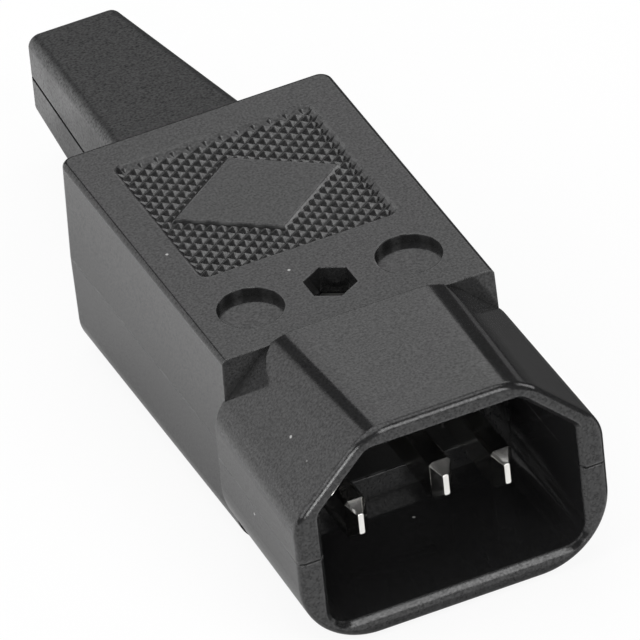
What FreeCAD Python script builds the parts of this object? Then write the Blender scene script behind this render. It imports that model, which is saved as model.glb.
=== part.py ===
import FreeCAD, Part
import math
import os

# Rewireable three pin cord plug, in millimetres: X across, Y along the cord, Z up, socket facing -Y.

# Cutters and joints: how far a cutter runs past a face, and how deep fused pieces reach into each other
over = 1.0
bond = 0.5
beyond = 60.0
touch = 0.001

# Socket of the standard ten ampere interface
socket_width = 24.5
socket_height = 17.3
socket_depth = 15.8
socket_bevel = 4.95
socket_bevel_corner = 1.2
socket_bottom_corner = 2.0
socket_lead = 0.45

# Shroud round the socket: walls at the rim, and how much the root is drawn in
rim_side_wall = 2.5
rim_top_wall = 2.0
rim_bottom_wall = 2.1
rim_bottom_rise = 0.2
rim_bevel_wall = 1.52
root_bevel_wall = 1.555
side_flare = 0.5
top_flare = 0.78
shroud_bevel_corner = 6.0
shroud_side_corner = 4.0
shroud_bottom_corner = 7.0
rim_edge = 0.7
root_margin = 2.0
root_bond = 0.2

# Body behind the shroud
body_length = 35.15
side_step = 0.95
top_step = 0.57
top_draft = 0.25
bottom_draft = 0.2
split_z = 10.2
body_top_edge = 0.5
body_bottom_edge = 3.4
body_back_edge = 1.2
wall = 2.1
roof = 2.25
floor_thickness = 2.2
rear_wall = 2.0
rim_seam_width = 0.16
rim_seam_depth = 0.3

# Pins
pin_spacing = 14.0
earth_drop = 7.0
pin_rise = 3.5
pin_thickness = 2.0
pin_height = 4.0
pin_recess = 4.1
earth_recess = 1.0
pin_edge = 0.3
tip_length = 1.1
tip_thickness = 0.5
tip_height = 2.1
tip_edge = 0.1

# Contact carrier
bulkhead_thickness = 3.2
flange_thickness = 1.3
carrier_side_ledge = 2.3
carrier_bottom_ledge = 2.3
carrier_top_ledge = 3.0
slip_gap = 0.1
island_side_margin = 3.0
island_bottom_margin = 0.85
island_rise = 0.6

# Screws
screw_clearance = 0.3
slot_width = 0.5
slot_depth = 0.6
terminal_shank = 1.2
terminal_overhang = 0.7
terminal_head_height = 1.4
terminal_tip_gap = 0.2

# Terminals
block_width = 5.0
block_height = 6.0
block_length = 9.0
terminal_gap = 0.8
strip_thickness = 1.0
strip_cover = 0.4
earth_block_gap = 1.6
earth_block_length = 6.0
earth_block_left = -2.9
earth_block_drop = 1.0
earth_head_gap = 0.35
wire_hole_radius = 1.3
wire_stop = 1.5

# Housing screw and nut
screw_radius = 1.0
head_overhang = 0.9
head_height = 1.5
head_recess_gap = 0.4
head_web = 0.2
boss_wall = 0.3
boss_gap = 0.3
nut_flats = 4.0
nut_height = 1.6
nut_gap = 0.2
nut_wall = 0.575
nut_depth = 4.3
nut_boss_web = 1.2
thread_end = 0.3

# Top face details
recess_spacing = 15.2
recess_setback = 5.9
recess_radius = 3.0
recess_depth = 0.8
panel_setback = 12.0
panel_back_margin = 3.75
panel_side_margin = 3.52
panel_corner = 0.9
pad_front_margin = 3.5
pad_back_margin = 4.0
pad_side_margin = 1.71
cells_per_edge = 10
groove_depth = 0.5
peak_depth = 0.04

# Cable boot
boot_length = 27.75
boot_base_half = 6.9
boot_bottom_rise = 4.9
boot_top_drop = 2.75
cord_bore = 3.1
tip_side_wall = 1.45
tip_wall = 0.8
tip_top_wall = 1.6
boot_corner = 1.2
boot_tip_edge = 0.4
neck_inset = 0.4
boot_flange_overhang = 2.0
boot_flange_thickness = 2.2
boot_line_width = 0.22
boot_line_depth = 0.22
boot_line_start = 0.3

# Cord clamp
clamp_length = 5.6
clamp_boot_gap = 0.3
clamp_wall_gap = 0.6
clamp_post_radius = 2.2
clamp_seat_rise = 1.2
clamp_plate = 2.5
clamp_cord_gap = 0.3
clamp_arch_wall = 1.8
clamp_arch_roof = 2.0
clamp_shank = 1.2
clamp_hole_floor = 1.4
clamp_tip_gap = 0.9
saddle_wall = 1.6
saddle_length = 3.0

# Places along Y, with the middle of the whole part at zero
shroud_length = socket_depth + root_margin
rim_y = -(shroud_length + body_length + boot_length) / 2.0
body_front = rim_y + shroud_length
body_back = body_front + body_length
boot_end = body_back + boot_length
socket_floor = rim_y + socket_depth
flange_front = socket_floor + bulkhead_thickness
flange_back = flange_front + flange_thickness
chamber_back = body_back - rear_wall
boot_flange_front = chamber_back - boot_flange_thickness
clamp_y = boot_flange_front - clamp_boot_gap - clamp_length / 2.0
panel_front = body_front + panel_setback
panel_back = body_back - panel_back_margin
pad_front = panel_front + pad_front_margin
pad_back = panel_back - pad_back_margin

# Places across X
socket_half = socket_width / 2.0
rim_half = socket_half + rim_side_wall
root_half = rim_half - side_flare
body_half_split = root_half - side_step
body_half_top = body_half_split - top_draft
body_half_bottom = body_half_split - bottom_draft
chamber_half = body_half_split - wall
carrier_half = socket_half - carrier_side_ledge
flange_half = chamber_half - slip_gap
island_half = pin_thickness / 2.0 + island_side_margin
panel_half = body_half_top - panel_side_margin
pad_half = panel_half - pad_side_margin
neck_half = boot_base_half - neck_inset
boot_tip_half = cord_bore + tip_side_wall
boot_flange_half = neck_half + boot_flange_overhang
clamp_half = chamber_half - clamp_wall_gap
clamp_post_x = clamp_half - clamp_post_radius
clamp_arch_radius = cord_bore + clamp_cord_gap
clamp_arch_half = clamp_arch_radius + clamp_arch_wall
saddle_half = clamp_arch_radius + saddle_wall

# Heights
socket_bottom = rim_bottom_rise + rim_bottom_wall
socket_top = socket_bottom + socket_height
rim_top = socket_top + rim_top_wall
root_top = rim_top - top_flare
body_top = root_top - top_step
ceiling_z = body_top - roof
floor_z = floor_thickness
earth_z = socket_top - earth_drop
power_z = earth_z - pin_rise
carrier_bottom = socket_bottom + carrier_bottom_ledge
carrier_top = socket_top - carrier_top_ledge
island_bottom = earth_z - pin_height / 2.0 - island_bottom_margin
earth_block_bottom = earth_z - pin_height / 2.0 - earth_block_drop
earth_block_top = ceiling_z - earth_head_gap - terminal_head_height
boot_base_bottom = boot_bottom_rise
boot_base_top = body_top - boot_top_drop
cord_z = boot_base_bottom + tip_wall + cord_bore
boot_tip_top = cord_z + cord_bore + tip_top_wall
neck_bottom = boot_base_bottom + neck_inset
neck_top = boot_base_top - neck_inset
clamp_seat = cord_z + clamp_seat_rise
clamp_arch_top = cord_z + clamp_arch_radius + clamp_arch_roof
saddle_top = cord_z - clamp_arch_radius
nut_seat = body_top - nut_depth
head_seat = floor_z - head_web

# Bevels are lines on which X and Z add up to one value
root_two = math.sqrt(2.0)
socket_bevel_sum = socket_half + socket_top - socket_bevel
rim_bevel_sum = socket_bevel_sum + root_two * rim_bevel_wall
root_bevel_sum = socket_bevel_sum + root_two * root_bevel_wall

# Sizes and places that follow from the housing screw
head_radius = screw_radius + head_overhang
head_recess_radius = head_radius + head_recess_gap
screw_hole = screw_radius + screw_clearance
boss_radius = head_recess_radius + boss_wall
nut_recess_flats = nut_flats + nut_gap
nut_boss_radius = nut_recess_flats / math.sqrt(3.0) + nut_wall
screw_y = flange_back + boss_gap + nut_boss_radius
strip_left = nut_boss_radius + boss_gap
strip_right = strip_left + strip_thickness
strip_front = flange_back - flange_thickness + strip_cover
strip_back = strip_front + strip_thickness
block_inner = strip_right + terminal_gap
earth_block_front = screw_y + boss_radius + earth_block_gap


def vec(x, y, z):
    return FreeCAD.Vector(x, y, z)


def box(x0, x1, y0, y1, z0, z1):
    return Part.makeBox(x1 - x0, y1 - y0, z1 - z0, vec(x0, y0, z0))


def post(x, y, z0, z1, radius):
    return Part.makeCylinder(radius, z1 - z0, vec(x, y, z0), vec(0, 0, 1))


def rod_along_y(x, z, y0, y1, radius):
    return Part.makeCylinder(radius, y1 - y0, vec(x, y0, z), vec(0, 1, 0))


def closed_wire(points):
    return Part.makePolygon(points + [points[0]])


def rounded_wire(corners, radii):
    """Closed flat wire through the corners, each rounded with its own radius."""
    count = len(corners)
    starts = []
    ends = []
    middles = []
    for i in range(count):
        here = corners[i]
        before = (corners[i - 1] - here).normalize()
        after = (corners[(i + 1) % count] - here).normalize()
        half_angle = before.getAngle(after) / 2.0
        reach = radii[i] / math.tan(half_angle)
        bisector = (before + after).normalize()
        starts.append(here + before * reach)
        ends.append(here + after * reach)
        middles.append(here + bisector * (radii[i] / math.sin(half_angle) - radii[i]))
    edges = []
    for i in range(count):
        following = (i + 1) % count
        if radii[i] > 0:
            edges.append(Part.Arc(starts[i], middles[i], ends[i]).toShape())
        edges.append(Part.makeLine(ends[i], starts[following]))
    return Part.Wire(edges)


def solid_from_faces(faces):
    """Closed solid from faces that meet along their edges."""
    skin = Part.makeCompound(faces)
    skin.sewShape(touch)
    solid = Part.makeSolid(skin.Shells[0])
    if solid.Volume < 0:
        solid.reverse()
    return solid


def tapered_block(near, far):
    """Solid with flat sides between two flat outlines that have as many corners each."""
    turn = (near[1] - near[0]).cross(near[2] - near[1])
    if turn.dot(far[0] - near[0]) > 0:
        near = near[::-1]
        far = far[::-1]
    faces = [Part.Face(closed_wire(near)), Part.Face(closed_wire(far))]
    for i in range(len(near)):
        k = (i + 1) % len(near)
        faces.append(Part.Face(closed_wire([near[i], near[k], far[k], far[i]])))
    return solid_from_faces(faces)


def edges_where(shape, test):
    return [edge for edge in shape.Edges if test(edge.BoundBox)]


def bevelled_outline(y, half, bottom, top, bevel_sum):
    """Corners of a socket style outline across Y: flat top, two bevels, straight sides."""
    side_z = bevel_sum - half
    flat_half = bevel_sum - top
    return [
        vec(half, y, side_z),
        vec(flat_half, y, top),
        vec(-flat_half, y, top),
        vec(-half, y, side_z),
        vec(-half, y, bottom),
        vec(half, y, bottom),
    ]


# Outer forms of the housing


def plan_outline(half, z):
    """Corners of the body's plan at one height."""
    return [
        vec(half, body_front, z),
        vec(half, body_back, z),
        vec(-half, body_back, z),
        vec(-half, body_front, z),
    ]


def body_upper():
    shape = tapered_block(plan_outline(body_half_split, split_z), plan_outline(body_half_top, body_top))
    rear_corners = edges_where(
        shape,
        lambda b: b.YMin > body_back - touch and b.ZLength > body_top_edge,
    )
    shape = shape.makeFillet(body_back_edge, rear_corners)
    top_loop = edges_where(
        shape,
        lambda b: b.ZMin > body_top - touch and b.YMax > body_front + touch,
    )
    return shape.makeFillet(body_top_edge, top_loop)


def body_lower():
    shape = tapered_block(plan_outline(body_half_split, split_z), plan_outline(body_half_bottom, 0.0))
    long_edges = edges_where(
        shape,
        lambda b: b.YLength > body_back_edge and b.ZMax < touch,
    )
    shape = shape.makeFillet(body_bottom_edge, long_edges)
    back_loop = edges_where(
        shape,
        lambda b: b.YMin > body_back - touch and b.ZMin < split_z - touch,
    )
    return shape.makeFillet(body_back_edge, back_loop)


def shroud():
    root = bevelled_outline(body_front + root_bond, root_half, 0.0, root_top, root_bevel_sum)
    rim = bevelled_outline(rim_y, rim_half, rim_bottom_rise, rim_top, rim_bevel_sum)
    shape = tapered_block(root, rim)
    corners = [
        (shroud_bevel_corner, body_top, beyond),
        (shroud_side_corner, split_z, body_top),
        (shroud_bottom_corner, -over, split_z),
    ]
    for radius, low, high in corners:
        edges = edges_where(
            shape,
            lambda b: b.YLength > socket_depth / 2 and low < b.ZMin and b.ZMax < high,
        )
        shape = shape.makeFillet(radius, edges)
    rim_loop = edges_where(shape, lambda b: b.YMax < rim_y + touch)
    return shape.makeFillet(rim_edge, rim_loop)


def socket_section(y, lead):
    outline = bevelled_outline(y, socket_half + lead, socket_bottom - lead, socket_top + lead,
                               socket_bevel_sum + root_two * lead)
    radii = [socket_bevel_corner + lead] * 4 + [socket_bottom_corner + lead] * 2
    return rounded_wire(outline, radii)


def socket():
    """Cavity of the socket with its bevelled lead at the rim."""
    lead = Part.makeLoft([socket_section(rim_y, socket_lead), socket_section(rim_y + socket_lead, 0.0)],
                         True, True)
    prism = Part.Face(socket_section(rim_y + socket_lead, 0.0)).extrude(vec(0, socket_depth - socket_lead, 0))
    return lead.fuse(prism).removeSplitter()


def hollows():
    """Room inside the two half shells: socket, wiring chamber, carrier seat and boot neck."""
    carrier_reach = carrier_half + slip_gap
    chamber = box(-chamber_half, chamber_half, flange_front, chamber_back, floor_z, ceiling_z)
    seat = box(-carrier_reach, carrier_reach, socket_floor, flange_front + bond,
               carrier_bottom - slip_gap, carrier_top + slip_gap)
    neck = box(-neck_half, neck_half, chamber_back - bond, body_back + over, neck_bottom, neck_top)
    return [socket(), chamber, seat, neck]


# Knurled grip panel


def clip_polygon(points, axis, limit, sign):
    """Part of a polygon on one side of a plane across X (axis 0) or Y (axis 1)."""
    kept = []
    for i in range(len(points)):
        a = points[i]
        b = points[(i + 1) % len(points)]
        room_a = sign * (limit - a[axis])
        room_b = sign * (limit - b[axis])
        if room_a > -touch:
            kept.append(a)
        if min(room_a, room_b) < -touch and max(room_a, room_b) > touch:
            kept.append(a + (b - a) * (room_a / (room_a - room_b)))
    return kept


def pyramid_facets(limits):
    """Facets of the rhombic pyramids that fill the panel and leave the pad plain."""
    step_x = pad_half / cells_per_edge
    step_y = (pad_back - pad_front) / 2.0 / cells_per_edge
    pad_y = (pad_back + pad_front) / 2.0
    low = body_top - groove_depth
    high = body_top - peak_depth
    reach = 3 * cells_per_edge
    facets = []
    for i in range(-reach, reach + 1):
        for j in range(-reach, reach + 1):
            if 0 <= i < cells_per_edge and 0 <= j < cells_per_edge:
                continue
            # Rhombic cells are counted from the left corner of the pad
            x = -pad_half + (i + j + 1) * step_x
            y = pad_y + (i - j) * step_y
            peak = vec(x, y, high)
            corners = [vec(x - step_x, y, low), vec(x, y + step_y, low),
                       vec(x + step_x, y, low), vec(x, y - step_y, low)]
            for k in range(4):
                facet = [corners[k], corners[(k + 1) % 4], peak]
                for axis, limit, sign in limits:
                    facet = clip_polygon(facet, axis, limit, sign)
                if len(facet) > 2:
                    facets.append(facet)
    return facets


def panel_walls(facets, limits, above):
    """Upright walls from the clipped facets to the lid, along the four sides of the panel."""
    walls = []
    for facet in facets:
        for i in range(len(facet)):
            a = facet[i]
            b = facet[(i + 1) % len(facet)]
            for axis, limit, sign in limits:
                along = 1 - axis
                on_side = abs(a[axis] - limit) <= touch and abs(b[axis] - limit) <= touch
                if on_side and abs(a[along] - b[along]) > touch:
                    walls.append([a, b, vec(b.x, b.y, above), vec(a.x, a.y, above)])
    return walls


def pad_walls(pad, low, above):
    walls = []
    rise = vec(0, 0, above - low)
    for k in range(4):
        a = pad[k]
        step = (pad[(k + 1) % 4] - a) * (1.0 / cells_per_edge)
        for n in range(cells_per_edge):
            p = a + step * n
            q = a + step * (n + 1)
            walls.append([p, q, q + rise, p + rise])
    return walls


def grip_cutter():
    """Space above the knurled panel: crossed V grooves round a plain rhombus pad."""
    low = body_top - groove_depth
    above = body_top + over
    pad_y = (pad_back + pad_front) / 2.0
    limits = [(0, panel_half, 1.0), (0, -panel_half, -1.0), (1, panel_back, 1.0), (1, panel_front, -1.0)]
    pad = [
        vec(-pad_half, pad_y, low),
        vec(0, pad_back, low),
        vec(pad_half, pad_y, low),
        vec(0, pad_front, low),
    ]
    facets = pyramid_facets(limits)
    polygons = facets + panel_walls(facets, limits, above) + pad_walls(pad, low, above)
    faces = [Part.Face(closed_wire(points)) for points in polygons]
    panel = [
        vec(-panel_half, panel_front, above),
        vec(panel_half, panel_front, above),
        vec(panel_half, panel_back, above),
        vec(-panel_half, panel_back, above),
    ]
    pad_above = closed_wire([vec(p.x, p.y, above) for p in pad])
    lid = Part.Face(closed_wire(panel)).cut(Part.Face(pad_above))
    solid = solid_from_faces(faces + lid.Faces)
    outline = [vec(p.x, p.y, low - over) for p in panel]
    room = Part.Face(rounded_wire(outline, [panel_corner] * 4)).extrude(vec(0, 0, groove_depth + 3 * over))
    return solid.common(room)


# Fasteners


def hexagon(flats, z0, z1):
    """Hexagonal prism about the housing screw with two corners along Y."""
    reach = flats / math.sqrt(3.0)
    points = []
    for i in range(6):
        angle = math.radians(30 + 60 * i)
        points.append(vec(reach * math.cos(angle), screw_y + reach * math.sin(angle), z0))
    return Part.Face(closed_wire(points)).extrude(vec(0, 0, z1 - z0))


def slotted_screw(x, y, seat, tip, shank, head, height):
    """Cheese head screw along Z: the head stands on the seat, away from the tip."""
    away = 1.0 if seat > tip else -1.0
    crown = seat + away * height
    slot_floor = crown - away * slot_depth
    slot_end = crown + away * over
    shape = post(x, y, min(seat, crown), max(seat, crown), head)
    shape = shape.fuse(post(x, y, min(tip, crown), max(tip, crown), shank))
    half_slot = slot_width / 2.0
    slot = box(x - half_slot, x + half_slot, y - head - over, y + head + over,
               min(slot_floor, slot_end), max(slot_floor, slot_end))
    return shape.cut(slot).removeSplitter()


def housing_screw():
    tip = nut_seat + nut_height + thread_end
    return slotted_screw(0, screw_y, head_seat, tip, screw_radius, head_radius, head_height)


def housing_nut():
    shape = hexagon(nut_flats, nut_seat, nut_seat + nut_height)
    return shape.cut(post(0, screw_y, nut_seat - over, nut_seat + nut_height + over, screw_hole))


# Contacts and their carrier


def blade_section(x, y, z, thickness, height, edge):
    """Corners of a blade's section across Y: a rectangle with bevelled corners."""
    wide = thickness / 2
    tall = height / 2
    return [
        vec(x - wide + edge, y, z - tall),
        vec(x + wide - edge, y, z - tall),
        vec(x + wide, y, z - tall + edge),
        vec(x + wide, y, z + tall - edge),
        vec(x + wide - edge, y, z + tall),
        vec(x - wide + edge, y, z + tall),
        vec(x - wide, y, z + tall - edge),
        vec(x - wide, y, z - tall + edge),
    ]


def blade(x, z, tip_y, back_y):
    """Contact blade standing on edge, with its tip tapered on all sides."""
    shoulder_y = tip_y + tip_length
    tip_end = blade_section(x, tip_y, z, tip_thickness, tip_height, tip_edge)
    shoulder = blade_section(x, shoulder_y, z, pin_thickness, pin_height, pin_edge)
    shank = Part.Face(closed_wire(shoulder)).extrude(vec(0, back_y - shoulder_y, 0))
    return tapered_block(tip_end, shoulder).fuse(shank)


def wire_terminal(shape, x, back, z, top, length):
    """Cut the wire hole and the upright screw hole into a terminal block."""
    depth = length - wire_stop
    shape = shape.cut(rod_along_y(x, z, back - depth, back + over, wire_hole_radius))
    hole_radius = terminal_shank + screw_clearance
    return shape.cut(post(x, back - depth / 2, z, top + over, hole_radius)).removeSplitter()


def power_pin(side):
    near = side * block_inner
    far = side * (block_inner + block_width)
    top = power_z + block_height / 2
    back = flange_back + block_length
    shape = blade(side * pin_spacing / 2, power_z, rim_y + pin_recess, flange_back + bond)
    shape = shape.fuse(box(min(near, far), max(near, far), flange_back, back,
                           power_z - block_height / 2, top))
    return wire_terminal(shape, (near + far) / 2, back, power_z, top, block_length)


def earth_pin():
    low = earth_z - pin_height / 2
    high = earth_z + pin_height / 2
    back = earth_block_front + earth_block_length
    shape = blade(0, earth_z, rim_y + earth_recess, strip_back)
    shape = shape.fuse(box(-pin_thickness / 2, strip_right, strip_front, strip_back, low, high))
    shape = shape.fuse(box(strip_left, strip_right, strip_front, earth_block_front + bond, low, high))
    shape = shape.fuse(box(earth_block_left, strip_right, earth_block_front, back,
                           earth_block_bottom, earth_block_top))
    return wire_terminal(shape, (earth_block_left + strip_right) / 2, back, earth_z, earth_block_top,
                         earth_block_length)


def terminal_screw(x, back, z, top, length):
    y = back - (length - wire_stop) / 2
    head = terminal_shank + terminal_overhang
    return slotted_screw(x, y, top, z + terminal_tip_gap, terminal_shank, head, terminal_head_height)


def power_screw(side):
    x = side * (block_inner + block_width / 2)
    return terminal_screw(x, flange_back + block_length, power_z, power_z + block_height / 2, block_length)


def earth_screw():
    x = (earth_block_left + strip_right) / 2
    back = earth_block_front + earth_block_length
    return terminal_screw(x, back, earth_z, earth_block_top, earth_block_length)


def contact_carrier():
    pin_half = pin_thickness / 2
    earth_low = earth_z - pin_height / 2
    earth_high = earth_z + pin_height / 2
    island_front = socket_floor - island_rise
    shape = box(-carrier_half, carrier_half, socket_floor, flange_front, carrier_bottom, carrier_top)
    shape = shape.fuse(box(-flange_half, flange_half, flange_front, flange_back,
                           floor_z + slip_gap, ceiling_z - slip_gap))
    shape = shape.fuse(box(-island_half, island_half, island_front, socket_floor, island_bottom, carrier_top))
    for side in (-1, 1):
        x = side * pin_spacing / 2
        shape = shape.cut(box(x - pin_half, x + pin_half, socket_floor - over, flange_back + over,
                              power_z - pin_height / 2, power_z + pin_height / 2))
    shape = shape.cut(box(-pin_half, pin_half, island_front - over, flange_back + over,
                          earth_low, earth_high))
    shape = shape.cut(box(-pin_half, strip_right, strip_front, flange_back + over, earth_low, earth_high))
    return shape.removeSplitter()


# Half shells


def upper_shell():
    upper_side = box(-beyond, beyond, -beyond, beyond, split_z, beyond)
    shape = body_upper().fuse(shroud().common(upper_side)).removeSplitter()
    for hollow in hollows():
        shape = shape.cut(hollow)
    shape = shape.fuse(post(0, screw_y, split_z, ceiling_z + bond, boss_radius))
    shape = shape.fuse(post(0, screw_y, nut_seat - nut_boss_web, ceiling_z + bond, nut_boss_radius))
    shape = shape.cut(hexagon(nut_recess_flats, nut_seat, body_top + over))
    shape = shape.cut(post(0, screw_y, split_z - over, nut_seat + bond, screw_hole))
    for side in (-1, 1):
        shape = shape.cut(post(side * recess_spacing / 2, body_front + recess_setback,
                               body_top - recess_depth, body_top + over, recess_radius))
    return shape.removeSplitter().cut(grip_cutter())


def lower_shell():
    lower_side = box(-beyond, beyond, -beyond, beyond, -beyond, split_z)
    shape = body_lower().fuse(shroud().common(lower_side)).removeSplitter()
    for hollow in hollows():
        shape = shape.cut(hollow)
    # Fine line left open along the seam across the rim
    shape = shape.cut(box(-beyond, beyond, rim_y - over, rim_y + rim_seam_depth,
                          split_z - rim_seam_width, split_z + over))
    shape = shape.fuse(post(0, screw_y, floor_z - bond, split_z, boss_radius))
    shape = shape.cut(post(0, screw_y, -over, head_seat, head_recess_radius))
    shape = shape.cut(post(0, screw_y, head_seat - bond, split_z + over, screw_hole))
    shape = shape.fuse(box(-saddle_half, saddle_half,
                           clamp_y - saddle_length / 2, clamp_y + saddle_length / 2,
                           floor_z - bond, saddle_top))
    for side in (-1, 1):
        x = side * clamp_post_x
        shape = shape.fuse(post(x, clamp_y, floor_z - bond, clamp_seat, clamp_post_radius))
        shape = shape.cut(post(x, clamp_y, floor_z + clamp_hole_floor, clamp_seat + over,
                               clamp_shank + screw_clearance))
    return shape.removeSplitter()


# Cord clamp and boot


def cord_clamp():
    front = clamp_y - clamp_length / 2
    back = clamp_y + clamp_length / 2
    shape = box(-clamp_half, clamp_half, front, back, clamp_seat, clamp_seat + clamp_plate)
    shape = shape.fuse(box(-clamp_arch_half, clamp_arch_half, front, back, clamp_seat, clamp_arch_top))
    shape = shape.cut(rod_along_y(0, cord_z, front - over, back + over, clamp_arch_radius))
    for side in (-1, 1):
        shape = shape.cut(post(side * clamp_post_x, clamp_y, clamp_seat - over, clamp_arch_top + over,
                               clamp_shank + screw_clearance))
    return shape.removeSplitter()


def clamp_screw(side):
    tip = floor_z + clamp_hole_floor + clamp_tip_gap
    head = clamp_shank + terminal_overhang
    return slotted_screw(side * clamp_post_x, clamp_y, clamp_seat + clamp_plate, tip, clamp_shank,
                         head, terminal_head_height)


def boot_outline(y, half, top, inset):
    return [
        vec(half - inset, y, boot_base_bottom + inset),
        vec(half - inset, y, top - inset),
        vec(-half + inset, y, top - inset),
        vec(-half + inset, y, boot_base_bottom + inset),
    ]


def boot_sleeve(inset):
    base = boot_outline(body_back, boot_base_half, boot_base_top, inset)
    tip = boot_outline(boot_end, boot_tip_half, boot_tip_top, inset)
    shape = tapered_block(base, tip)
    long_edges = edges_where(shape, lambda b: b.YLength > boot_length - touch)
    return shape.makeFillet(boot_corner, long_edges)


def boot_line():
    """Thin slab at mid height of the boot, from which its parting line is cut."""
    half_line = boot_line_width / 2
    start = body_back + boot_line_start
    base_mid = (boot_base_bottom + boot_base_top) / 2
    tip_mid = (boot_base_bottom + boot_tip_top) / 2
    end = boot_end + over
    side = closed_wire([
        vec(-beyond, start, base_mid - half_line),
        vec(-beyond, end, tip_mid - half_line),
        vec(-beyond, end, tip_mid + half_line),
        vec(-beyond, start, base_mid + half_line),
    ])
    return Part.Face(side).extrude(vec(2 * beyond, 0, 0))


def cable_boot():
    shape = boot_sleeve(0.0)
    rear_loop = edges_where(shape, lambda b: b.YMin > boot_end - touch)
    shape = shape.makeFillet(boot_tip_edge, rear_loop)
    shape = shape.cut(boot_line().cut(boot_sleeve(boot_line_depth)))
    shape = shape.fuse(box(-neck_half, neck_half, chamber_back - bond, body_back, neck_bottom, neck_top))
    shape = shape.fuse(box(-boot_flange_half, boot_flange_half, boot_flange_front, chamber_back,
                           floor_z + slip_gap, ceiling_z - slip_gap))
    shape = shape.cut(rod_along_y(0, cord_z, boot_flange_front - over, boot_end + over, cord_bore))
    return shape.removeSplitter()


parts = {
    "upper_shell": upper_shell(),
    "lower_shell": lower_shell(),
    "contact_carrier": contact_carrier(),
    "line_pin": power_pin(-1),
    "neutral_pin": power_pin(1),
    "earth_pin": earth_pin(),
    "line_terminal_screw": power_screw(-1),
    "neutral_terminal_screw": power_screw(1),
    "earth_terminal_screw": earth_screw(),
    "cord_clamp": cord_clamp(),
    "clamp_screw_left": clamp_screw(-1),
    "clamp_screw_right": clamp_screw(1),
    "housing_screw": housing_screw(),
    "housing_nut": housing_nut(),
    "cable_boot": cable_boot(),
}

os.makedirs("parts", exist_ok=True)
for name, shape in parts.items():
    shape.exportStep("parts/" + name + ".step")
    print(name, shape.ShapeType, len(shape.Solids), "solids", len(shape.Faces), "faces", shape.isValid())
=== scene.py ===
import math

import bpy
from mathutils import Matrix, Vector


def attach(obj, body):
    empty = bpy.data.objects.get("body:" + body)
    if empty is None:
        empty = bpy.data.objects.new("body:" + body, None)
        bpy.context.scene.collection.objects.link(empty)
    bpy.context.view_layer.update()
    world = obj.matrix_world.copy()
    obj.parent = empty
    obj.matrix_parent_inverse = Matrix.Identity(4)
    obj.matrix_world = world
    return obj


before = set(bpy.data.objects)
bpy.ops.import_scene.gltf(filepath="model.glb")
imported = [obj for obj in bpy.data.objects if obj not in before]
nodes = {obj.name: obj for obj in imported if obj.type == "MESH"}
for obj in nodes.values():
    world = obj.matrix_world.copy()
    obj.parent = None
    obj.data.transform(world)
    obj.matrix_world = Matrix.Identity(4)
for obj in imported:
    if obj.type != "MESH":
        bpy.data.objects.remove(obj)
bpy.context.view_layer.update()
scene = bpy.context.scene
mm = 0.001

# Camera: the photograph's viewing angle, with a long lens from far away
camera_azimuth = math.radians(-21.02)
camera_elevation = math.radians(35.898)
camera_roll = math.radians(-6.098)
camera_distance = 1554.45 * mm
camera_lens = 999.94
camera_sensor = 36.0
camera_clip_start = 0.1
camera_clip_end = 20.0
aim = Vector((0.0, -14.55, 10.85)) * mm
aim_right = -0.795 * mm
aim_up = 3.095 * mm

# Plastics: the grain runs between the dark and the light colour; the third colour is painted shade, laid on
# hollows and on the boot also along its seam
shell_look = {
    "dark": (0.011, 0.011, 0.0113),
    "light": (0.02, 0.02, 0.0205),
    "rough_low": 0.08,
    "rough_high": 0.12,
    "grain_scale": 4600.0,
    "grain_height": 0.0012 * mm,
    "shine": 0.5,
    "shine_change": 0.2,
    "hollow_roughness": 0.17,
    # painted shade for hollows
    "hollow_shade": (0.012, 0.012, 0.012),
    "edge_radius": 0.12 * mm,
    "rim_radius": 0.35 * mm,
    "shadowed_seam": False,
}
carrier_look = {
    "dark": (0.006, 0.006, 0.006),
    "light": (0.01, 0.01, 0.01),
    "rough_low": 0.45,
    "rough_high": 0.55,
    "grain_scale": 5000.0,
    "grain_height": 0.004 * mm,
    "shine": 0.12,
    "shine_change": 0.0,
    "hollow_roughness": 0.17,
    "hollow_shade": (0.006, 0.006, 0.006),
    "edge_radius": 0.08 * mm,
    "rim_radius": 0.08 * mm,
    "shadowed_seam": False,
}
rubber_look = {
    "dark": (0.021, 0.021, 0.0215),
    "light": (0.035, 0.035, 0.0355),
    "rough_low": 0.32,
    "rough_high": 0.4,
    "grain_scale": 4200.0,
    "grain_height": 0.012 * mm,
    "shine": 0.5,
    "shine_change": 0.4,
    "hollow_roughness": 0.6,
    # painted shade for hollows, near black on the boot
    "hollow_shade": (0.001, 0.001, 0.001),
    "edge_radius": 0.12 * mm,
    "rim_radius": 0.12 * mm,
    # painted shadow line along the boot's parting line
    "shadowed_seam": True,
}
plastic_ior = 1.5
plastic_cloud_scale = 160.0
plastic_cloud_detail = 4.0
grain_detail = 2.0
# Outer edges of the plastic lightened in patches: a painted highlight, broken up like wear
plastic_wear_and_highlight_reach = 0.22 * mm
plastic_wear_and_highlight_colour = (0.07, 0.07, 0.07)

# Plated metals
contact_look = {
    "dark": (0.74, 0.73, 0.7),
    "light": (0.84, 0.83, 0.8),
    "rough_low": 0.08,
    "rough_high": 0.14,
    "streak_height": 0.0005 * mm,
}
steel_look = {
    "dark": (0.5, 0.5, 0.49),
    "light": (0.66, 0.66, 0.64),
    "rough_low": 0.25,
    "rough_high": 0.4,
    "streak_height": 0.001 * mm,
}
metal_cloud_scale = 700.0
metal_cloud_detail = 3.0
streak_scale = 5000.0
streak_detail = 2.0
streak_along = 0.08
metal_edge_radius = 0.06 * mm
metal_wear_reach = 0.08 * mm
metal_wear_colour = (0.9, 0.9, 0.88)

# Spans of noise and of occlusion over which the masks rise
noise_low = 0.3
noise_high = 0.7
occlusion_samples = 8
bevel_samples = 6
bevel_reach_ratio = 2.0
bevel_open_low = 0.7
bevel_open_high = 0.9
wear_narrow = 0.55
wear_wide = 0.95
patch_scale = 450.0
patch_detail = 3.0
patch_least = 0.1
patch_low = 0.42
patch_high = 0.62
hollow_reach = 1.2 * mm
hollow_deep = 0.5
hollow_open = 0.95

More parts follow.
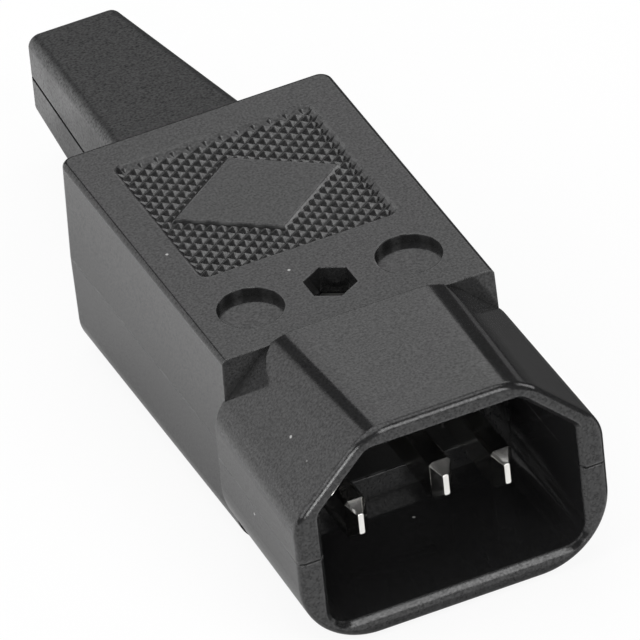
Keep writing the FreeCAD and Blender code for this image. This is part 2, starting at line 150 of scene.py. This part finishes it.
# Specks of dust
dust_spacing = 4.0 * mm
dust_size = 0.18 * mm
dust_core = 0.5
dust_share = 0.4
dust_share_step = 0.01
dust_colour = (0.4, 0.4, 0.39)

# Places in the part: the socket's rim at the minus end of the Y axis, the boot's parting line at the plus
# end, along which a shadow line is painted
rim_front = -38.6 * mm
rim_back = -37.6 * mm
seam_start = 12.9 * mm
seam_end = 40.35 * mm
seam_base_height = 11.2 * mm
seam_tip_height = 9.2 * mm
seam_half_width = 0.2 * mm

# Sunk grip panel, and the rhombus pad in its middle
panel_half = 9.53 * mm
panel_front = -10.55 * mm
panel_back = 8.85 * mm
panel_corner = 0.9 * mm
panel_top = 20.25 * mm
panel_floor = 19.75 * mm
pad_half = 7.82 * mm
pad_reach = 5.95 * mm
pad_middle = -1.1 * mm
border_width = 0.6 * mm
border_back_width = 1.2 * mm
pad_border_width = 0.42 * mm
border_sink = 0.05 * mm
corner_steps = 8

# Studio: a white floor, and cards on it that give the side faces something dark or pale to mirror
sheet_roughness = 0.9
floor_reach = 3.0
floor_height = -0.05 * mm
floor_shade = 0.95
floor_glow = 0.9
card_left = -27.0 * mm
card_near = -15.0 * mm
card_middle = -3.0 * mm
card_right = 22.0 * mm
card_front = -42.0 * mm
card_back = 46.0 * mm
left_card_height = -0.03 * mm
dark_card_height = -0.02 * mm
card_white = 0.95
card_shadow = 0.7
card_dark = 0.1
world_level = 0.05


def place_camera():
    back = Vector((
        math.sin(camera_azimuth) * math.cos(camera_elevation),
        -math.cos(camera_azimuth) * math.cos(camera_elevation),
        math.sin(camera_elevation),
    ))
    level = Vector((math.cos(camera_azimuth), math.sin(camera_azimuth), 0.0))
    upright = back.cross(level)
    right = level * math.cos(camera_roll) + upright * math.sin(camera_roll)
    up = upright * math.cos(camera_roll) - level * math.sin(camera_roll)
    centre = aim + right * aim_right + up * aim_up
    place = Matrix((right, up, back)).transposed().to_4x4()
    place.translation = centre + back * camera_distance
    data = bpy.data.cameras.new("camera")
    data.lens = camera_lens
    data.sensor_width = camera_sensor
    data.clip_start = camera_clip_start
    data.clip_end = camera_clip_end
    camera = bpy.data.objects.new("camera", data)
    camera.matrix_world = place
    scene.collection.objects.link(camera)
    scene.camera = camera


# Nodes that the materials share
def new_material(name):
    material = bpy.data.materials.new(name)
    material.use_nodes = True
    tree = material.node_tree
    shader = tree.nodes["Principled BSDF"]
    return material, tree, shader


def own_space(tree):
    """Coordinates in the piece's own space, which is the part's frame."""
    node = tree.nodes.get("place") or tree.nodes.new("ShaderNodeTexCoord")
    node.name = "place"
    return node.outputs["Object"]


def own_axes(tree):
    node = tree.nodes.new("ShaderNodeSeparateXYZ")
    tree.links.new(own_space(tree), node.inputs["Vector"])
    return node.outputs


def noise(tree, scale, detail, along=1.0):
    """Noise in the piece's own space; a small scale along Y draws it out into streaks."""
    stretch = tree.nodes.new("ShaderNodeMapping")
    stretch.inputs["Scale"].default_value = (1.0, along, 1.0)
    tree.links.new(own_space(tree), stretch.inputs["Vector"])
    texture = tree.nodes.new("ShaderNodeTexNoise")
    texture.inputs["Scale"].default_value = scale
    texture.inputs["Detail"].default_value = detail
    tree.links.new(stretch.outputs["Vector"], texture.inputs["Vector"])
    return texture.outputs["Fac"]


def spread(tree, value, low, high, from_low=noise_low, from_high=noise_high):
    """The value's span is mapped to another span, and clamped to it."""
    node = tree.nodes.new("ShaderNodeMapRange")
    node.inputs["From Min"].default_value = from_low
    node.inputs["From Max"].default_value = from_high
    node.inputs["To Min"].default_value = low
    node.inputs["To Max"].default_value = high
    tree.links.new(value, node.inputs["Value"])
    return node.outputs["Result"]


def calculate(tree, operation, *values):
    """Math node; each value is a plain number or another node's output."""
    node = tree.nodes.new("ShaderNodeMath")
    node.operation = operation
    for socket, value in zip(node.inputs, values):
        if isinstance(value, float):
            socket.default_value = value
        else:
            tree.links.new(value, socket)
    return node.outputs["Value"]


def mix_colours(tree, factor, first, second):
    """From the first colour to the second; the first may be another node's output."""
    node = tree.nodes.new("ShaderNodeMix")
    node.data_type = "RGBA"
    if isinstance(first, tuple):
        node.inputs["A"].default_value = (*first, 1.0)
    else:
        tree.links.new(first, node.inputs["A"])
    node.inputs["B"].default_value = (*second, 1.0)
    tree.links.new(factor, node.inputs["Factor"])
    return node.outputs["Result"]


def nearness(tree, reach, inside):
    """Ambient occlusion of one piece by itself, within a short reach."""
    node = tree.nodes.new("ShaderNodeAmbientOcclusion")
    node.samples = occlusion_samples
    node.inside = inside
    node.only_local = True
    node.inputs["Distance"].default_value = reach
    return node.outputs["AO"]


def rounded_edges(tree, radius, rim_radius):
    """Outer edges rounded in the shading, more at the socket's rim; inner corners stay sharp."""
    along = own_axes(tree)["Y"]
    wanted = spread(tree, along, rim_radius, radius, rim_front, rim_back)
    free = nearness(tree, bevel_reach_ratio * radius, False)
    outer = spread(tree, free, 0.0, 1.0, bevel_open_low, bevel_open_high)
    node = tree.nodes.new("ShaderNodeBevel")
    node.samples = bevel_samples
    tree.links.new(calculate(tree, "MULTIPLY", wanted, outer), node.inputs["Radius"])
    return node.outputs["Normal"]


def bump(tree, height, distance, normal):
    node = tree.nodes.new("ShaderNodeBump")
    node.inputs["Strength"].default_value = 1.0
    node.inputs["Distance"].default_value = distance
    tree.links.new(height, node.inputs["Height"])
    tree.links.new(normal, node.inputs["Normal"])
    return node.outputs["Normal"]


def edge_wear_and_highlight_mask(tree, reach):
    """Patchy mask of outer edges: close to them the inside of the piece is narrow. On plastic it lightens the
    edges as a painted highlight; on metal it is rubbed wear.
    """
    edges = spread(tree, nearness(tree, reach, True), 1.0, 0.0, wear_narrow, wear_wide)
    spots = noise(tree, patch_scale, patch_detail)
    patches = spread(tree, spots, patch_least, 1.0, patch_low, patch_high)
    return calculate(tree, "MULTIPLY", edges, patches)


def seam_shadow_mask(tree):
    """Mask of a painted shadow line along the boot's parting line, which falls towards the tip."""
    axes = own_axes(tree)
    middle = spread(tree, axes["Y"], seam_base_height, seam_tip_height, seam_start, seam_end)
    return calculate(tree, "COMPARE", axes["Z"], middle, seam_half_width)


def dust(tree):
    """Mask of small round specks, one in some of the cells of a loose grid."""
    texture = tree.nodes.new("ShaderNodeTexVoronoi")
    texture.inputs["Scale"].default_value = 1.0 / dust_spacing
    tree.links.new(own_space(tree), texture.inputs["Vector"])
    rim = dust_size / dust_spacing
    speck = spread(tree, texture.outputs["Distance"], 1.0, 0.0, dust_core * rim, rim)
    split = tree.nodes.new("ShaderNodeSeparateColor")
    tree.links.new(texture.outputs["Color"], split.inputs["Color"])
    chosen = spread(tree, split.outputs["Red"], 1.0, 0.0, dust_share, dust_share + dust_share_step)
    return calculate(tree, "MULTIPLY", speck, chosen)


# Materials
def moulded_plastic(name, look):
    """Dark moulded plastic: fine grain, clouds of gloss, a painted highlight on outer edges in wear-like
    patches, dust, and painted shade in hollows, on the boot also along its seam.
    """
    material, tree, shader = new_material(name)
    clouds = noise(tree, plastic_cloud_scale, plastic_cloud_detail)
    grain = noise(tree, look["grain_scale"], grain_detail)
    hollows = spread(tree, nearness(tree, hollow_reach, False), 1.0, 0.0, hollow_deep, hollow_open)
    # on the boot the seam gets a painted shadow line as well
    if look["shadowed_seam"]:
        hollows = calculate(tree, "MAXIMUM", hollows, seam_shadow_mask(tree))
    plain = mix_colours(tree, spread(tree, grain, 0.0, 1.0), look["dark"], look["light"])
    # painted highlight on outer edges, in wear-like patches
    wear_and_highlight = mix_colours(tree, edge_wear_and_highlight_mask(tree, plastic_wear_and_highlight_reach), plain, plastic_wear_and_highlight_colour)
    dusty = mix_colours(tree, dust(tree), wear_and_highlight, dust_colour)
    # painted shade: hollows, and the boot's seam, darkened in the colour
    shaded_hollows = mix_colours(tree, hollows, dusty, look["hollow_shade"])
    tree.links.new(shaded_hollows, shader.inputs["Base Color"])
    cloudy = spread(tree, clouds, look["rough_low"], look["rough_high"])
    roughness = calculate(tree, "MULTIPLY_ADD", hollows, look["hollow_roughness"], cloudy)
    tree.links.new(roughness, shader.inputs["Roughness"])
    shine = shader.inputs["Specular IOR Level"]
    shine.default_value = look["shine"]
    if look["shine_change"] > 0.0:
        least = look["shine"] - look["shine_change"]
        most = look["shine"] + look["shine_change"]
        tree.links.new(spread(tree, grain, least, most), shine)
    edges = rounded_edges(tree, look["edge_radius"], look["rim_radius"])
    tree.links.new(bump(tree, grain, look["grain_height"], edges), shader.inputs["Normal"])
    shader.inputs["IOR"].default_value = plastic_ior
    return material


def plated_metal(name, look):
    """Bright plated metal with fine streaks along its length and edges rubbed bright."""
    material, tree, shader = new_material(name)
    clouds = noise(tree, metal_cloud_scale, metal_cloud_detail)
    streaks = noise(tree, streak_scale, streak_detail, streak_along)
    plain = mix_colours(tree, clouds, look["dark"], look["light"])
    rubbed = mix_colours(tree, edge_wear_and_highlight_mask(tree, metal_wear_reach), plain, metal_wear_colour)
    tree.links.new(rubbed, shader.inputs["Base Color"])
    cloudy = spread(tree, clouds, look["rough_low"], look["rough_high"])
    tree.links.new(cloudy, shader.inputs["Roughness"])
    edges = rounded_edges(tree, metal_edge_radius, metal_edge_radius)
    tree.links.new(bump(tree, streaks, look["streak_height"], edges), shader.inputs["Normal"])
    shader.inputs["Metallic"].default_value = 1.0
    return material


def dress_nodes():
    """Each node gets its material; the shell's is given back for the pieces added to it."""
    shell = moulded_plastic("shell_plastic", shell_look)
    carrier = moulded_plastic("carrier_plastic", carrier_look)
    rubber = moulded_plastic("boot_rubber", rubber_look)
    contact = plated_metal("contact_metal", contact_look)
    steel = plated_metal("screw_steel", steel_look)
    materials = {
        "upper_shell": shell,
        "lower_shell": shell,
        "contact_carrier": carrier,
        "cord_clamp": carrier,
        "line_pin": contact,
        "neutral_pin": contact,
        "earth_pin": contact,
        "cable_boot": rubber,
    }
    for name, node in nodes.items():
        node.material_slots[0].material = materials.get(name, steel)
    return shell


# Sloped borders of the grip panel and of its pad
def panel_ring(inset, back_inset, height):
    """The panel's rounded outline, moved inwards; each arc starts at a share of a half turn."""
    radius = panel_corner - inset
    right = panel_half - inset - radius
    front = panel_front + inset + radius
    back = panel_back - back_inset - radius
    corners = [
        (right, back, 0.0),
        (-right, back, 0.5),
        (-right, front, 1.0),
        (right, front, 1.5),
    ]
    points = []
    for x, y, start in corners:
        for step in range(corner_steps + 1):
            turn = math.pi * (start + 0.5 * step / corner_steps)
            points.append((x + radius * math.cos(turn), y + radius * math.sin(turn), height))
    return points


def pad_ring(outset, height):
    """The pad's rhombus, moved outwards."""
    grow = 1.0 + outset * math.hypot(pad_half, pad_reach) / (pad_half * pad_reach)
    half = pad_half * grow
    reach = pad_reach * grow
    return [
        (half, pad_middle, height),
        (0.0, pad_middle + reach, height),
        (-half, pad_middle, height),
        (0.0, pad_middle - reach, height),
    ]


def ring_piece(name, rings, material):
    """Closed ring whose section has one corner on each of the outlines."""
    count = len(rings[0])
    total = count * len(rings)
    points = [point for ring in rings for point in ring]
    faces = []
    for first in range(0, total, count):
        second = (first + count) % total
        for i in range(count):
            j = (i + 1) % count
            faces.append((first + i, first + j, second + j, second + i))
    mesh = bpy.data.meshes.new(name)
    mesh.from_pydata(points, [], faces)
    mesh.materials.append(material)
    piece = bpy.data.objects.new(name, mesh)
    scene.collection.objects.link(piece)
    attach(piece, "root")


def panel_border(material):
    """Slope from the top face down to the grooves; its back and foot are sunk into the shell."""
    foot = panel_floor - border_sink
    edge = panel_ring(0.0, 0.0, panel_top)
    toe = panel_ring(border_width, border_back_width, foot)
    heel = panel_ring(-border_sink, -border_sink, foot)
    ring_piece("panel_border", [edge, toe, heel], material)


def pad_border(material):
    """Slope from the pad's top down to the grooves; its back and foot are sunk into the shell."""
    foot = panel_floor - border_sink
    edge = pad_ring(0.0, panel_top)
    toe = pad_ring(pad_border_width, foot)
    heel = pad_ring(-border_sink, foot)
    ring_piece("pad_border", [edge, heel, toe], material)


# Floor, cards and lamps
def rectangle(left, right, front, back):
    return [(left, front), (right, front), (right, back), (left, back)]


def sheet(name, corners, height):
    """Flat matt sheet of the studio."""
    mesh = bpy.data.meshes.new(name)
    mesh.from_pydata([(x, y, height) for x, y in corners], [], [(0, 1, 2, 3)])
    piece = bpy.data.objects.new(name, mesh)
    scene.collection.objects.link(piece)
    material, tree, shader = new_material(name)
    shader.inputs["Roughness"].default_value = sheet_roughness
    shader.inputs["Specular IOR Level"].default_value = 0.0
    mesh.materials.append(material)
    return piece, tree, shader


def white_floor():
    """Floor that is plain white to the camera and in mirrors, with a trace of the object's shadow."""
    corners = rectangle(-floor_reach, floor_reach, -floor_reach, floor_reach)
    piece, tree, shader = sheet("floor", corners, floor_height)
    shader.inputs["Base Color"].default_value = (floor_shade, floor_shade, floor_shade, 1.0)
    path = tree.nodes.new("ShaderNodeLightPath")
    seen = spread(tree, path.outputs["Is Camera Ray"], 0.0, floor_glow, 0.0, 1.0)
    for ray in ("Is Glossy Ray", "Is Transmission Ray"):
        seen = calculate(tree, "ADD", seen, path.outputs[ray])
        seen.node.use_clamp = True
    glow = tree.nodes.new("ShaderNodeEmission")
    mix = tree.nodes.new("ShaderNodeMixShader")
    tree.links.new(seen, mix.inputs["Fac"])
    tree.links.new(shader.outputs["BSDF"], mix.inputs[1])
    tree.links.new(glow.outputs["Emission"], mix.inputs[2])
    tree.links.new(mix.outputs["Shader"], tree.nodes["Material Output"].inputs["Surface"])


def card(name, corners, height, shade, near_shade):
    """Card that shows only in mirrored rays; close to the object's left side it darkens, a painted shadow of
    the object on the floor.
    """
    piece, tree, shader = sheet(name, corners, height)
    piece.visible_camera = False
    piece.visible_diffuse = False
    piece.visible_shadow = False
    tone = spread(tree, own_axes(tree)["X"], shade, near_shade, card_left, card_near)
    tree.links.new(tone, shader.inputs["Base Color"])


def lay_cards():
    beside = rectangle(card_left, card_right, card_front, card_back)
    right_of_it = rectangle(card_right, floor_reach, card_front, floor_reach)
    behind = rectangle(card_middle, card_right, card_back, floor_reach)
    card("left_card", beside, left_card_height, card_white, card_shadow)
    card("right_card", right_of_it, dark_card_height, card_dark, card_dark)
    card("back_card", behind, dark_card_height, card_dark, card_dark)


def soft_box(name, azimuth, elevation, width, height, radiance):
    """Even soft box a metre away; its azimuth runs from the cord's end towards +X."""
    data = bpy.data.lights.new(name, "AREA")
    data.shape = "RECTANGLE"
    data.size = width
    data.size_y = height
    data.energy = math.pi * width * height * radiance
    light = bpy.data.objects.new(name, data)
    turn = math.radians(azimuth)
    rise = math.radians(elevation)
    toward = Vector((
        math.sin(turn) * math.cos(rise),
        math.cos(turn) * math.cos(rise),
        math.sin(rise),
    ))
    light.location = toward
    light.rotation_euler = toward.to_track_quat("Z", "Y").to_euler()
    scene.collection.objects.link(light)


def hang_lamps():
    soft_box("back_box", azimuth=25.0, elevation=37.0, width=0.58, height=0.44, radiance=1.1)
    soft_box("left_box", azimuth=-42.0, elevation=22.0, width=0.9, height=0.8, radiance=1.1)
    soft_box("key_box", azimuth=161.0, elevation=31.0, width=0.45, height=0.62, radiance=4.2)
    soft_box("right_box", azimuth=92.0, elevation=27.0, width=0.45, height=0.45, radiance=2.8)
    soft_box("top_box", azimuth=-40.0, elevation=80.0, width=1.15, height=1.1, radiance=1.6)
    soft_box("fill_box", azimuth=-150.0, elevation=15.0, width=0.36, height=0.36, radiance=8.0)
    soft_box("far_box", azimuth=-98.0, elevation=32.0, width=0.6, height=0.6, radiance=2.2)
    soft_box("low_box", azimuth=43.0, elevation=6.0, width=0.2, height=0.12, radiance=0.25)


def dim_world():
    world = bpy.data.worlds.new("studio")
    world.use_nodes = True
    background = world.node_tree.nodes["Background"]
    background.inputs["Color"].default_value = (world_level, world_level, world_level, 1.0)
    background.inputs["Strength"].default_value = 1.0
    scene.world = world


scene.view_settings.view_transform = "Standard"
place_camera()
shell_plastic = dress_nodes()
panel_border(shell_plastic)
pad_border(shell_plastic)
white_floor()
lay_cards()
dim_world()
hang_lamps()
